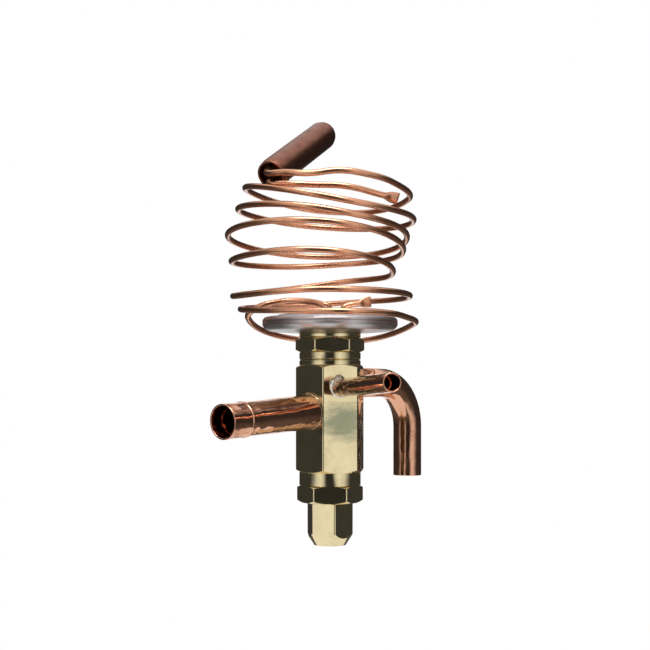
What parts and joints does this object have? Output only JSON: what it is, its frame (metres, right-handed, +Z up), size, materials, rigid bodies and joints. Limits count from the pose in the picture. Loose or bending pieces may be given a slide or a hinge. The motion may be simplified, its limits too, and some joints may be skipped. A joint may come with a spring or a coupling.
{
  "type": "refrigerant expansion valve with sensing bulb",
  "caption": "Brass expansion valve for refrigerant lines, with copper tube stubs, a steel diaphragm head and a wound capillary that ends in a sensing bulb.",
  "frame": {"origin": "centre of the seal cap's flat end, at the bottom of the valve", "axes": "+Z up the valve's axis through the power head, the outlet tube along -X and the inlet tube along +X"},
  "size_m": [0.1195, 0.0998, 0.1746],
  "materials": {
    "polished_brass": "polished",
    "plain_brass": "machined",
    "copper_tube": "polished copper",
    "satin_copper": "satin copper",
    "oxidised_copper": "oxidised copper",
    "stainless_shell": "bright stainless steel",
    "plain_steel": "machined steel",
    "silver_braze": "silver brazing alloy",
    "rubber_seal": "matt",
    "soft_seal": "fluoropolymer"
  },
  "bodies": {
    "valve": {"valve_body": "polished_brass", "bottom_nut": "polished_brass", "power_head_nut": "polished_brass", "bottom_gasket": "soft_seal", "stem_seal": "soft_seal", "superheat_spring": "plain_steel", "orifice_seat": "plain_steel", "power_head_base": "stainless_shell", "power_head_cover": "stainless_shell", "diaphragm": "stainless_shell", "outlet_tube": "copper_tube", "inlet_tube": "copper_tube", "equalizer_tube": "copper_tube", "outlet_braze": "silver_braze", "inlet_braze": "silver_braze", "equalizer_braze": "silver_braze", "capillary_braze": "silver_braze", "bulb_plug": "silver_braze", "inlet_strainer": "plain_steel", "sensing_bulb": "oxidised_copper", "capillary_tube": "satin_copper", "bulb_charge_tail": "satin_copper", "head_charge_stub": "satin_copper"},
    "cap_thread": {"cap_gasket": "soft_seal"},
    "cap": {"seal_cap": "polished_brass"},
    "spindle": {"adjusting_spindle": "plain_steel", "spindle_o_rings": "rubber_seal"},
    "spring_seat": {"spring_seat": "plain_brass"},
    "valve_train": {"valve_stem": "plain_steel", "pin_carrier": "plain_brass", "diaphragm_pad": "plain_steel"}
  },
  "joints": [
    {"name": "cap_lift", "type": "slide", "parent": "valve", "child": "cap_thread", "axis": [0, 0, -1], "range_m": [0, 0.00875]},
    {"name": "cap_turn", "type": "hinge", "parent": "cap_thread", "child": "cap", "pos_m": [0, 0, 0], "axis": [0, 0, -1], "range_deg": [0, 2520.05]},
    {"name": "spindle_turn", "type": "hinge", "parent": "valve", "child": "spindle", "pos_m": [0, 0, 0], "axis": [0, 0, 1], "range_deg": [-1080.05, 864.05]},
    {"name": "seat_travel", "type": "slide", "parent": "valve", "child": "spring_seat", "axis": [0, 0, 1], "range_m": [-0.003, 0.0024], "deforming": ["superheat_spring"]},
    {"name": "valve_stroke", "type": "slide", "parent": "valve", "child": "valve_train", "axis": [0, 0, -1], "range_m": [0, 0.0008], "stiffness_N_per_m": 4000, "deforming": ["superheat_spring", "diaphragm"]}
  ],
  "couplings": [
    {"joint": "cap_turn", "follows": "cap_lift", "rad_per_m": 5026.5},
    {"joint": "spindle_turn", "follows": "seat_travel", "rad_per_m": 6283.2}
  ]
}
